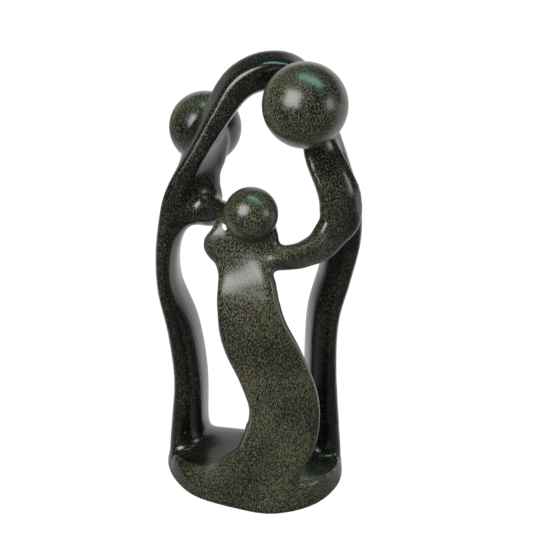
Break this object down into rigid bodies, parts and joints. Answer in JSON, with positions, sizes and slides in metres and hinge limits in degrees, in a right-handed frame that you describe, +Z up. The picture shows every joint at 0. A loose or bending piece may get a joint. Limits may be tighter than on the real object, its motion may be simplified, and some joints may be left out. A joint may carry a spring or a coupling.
{
  "type": "stone family sculpture",
  "caption": "Abstract family carved from one block of dark green soapstone: slab-bodied parents joined overhead by an arched arm hold a child with a ball head, on an oval foot.",
  "frame": {"origin": "middle of the bounding box in X and Y, at the flat underside of the foot", "axes": "+Z up, -Y towards the viewer in front of the child, +X to that viewer's right"},
  "size_m": [0.118, 0.1132, 0.2537],
  "materials": {
    "stone": "polished dark green soapstone with fine olive flecks"
  },
  "bodies": {
    "root": {"family_sculpture": "stone"}
  },
  "joints": []
}
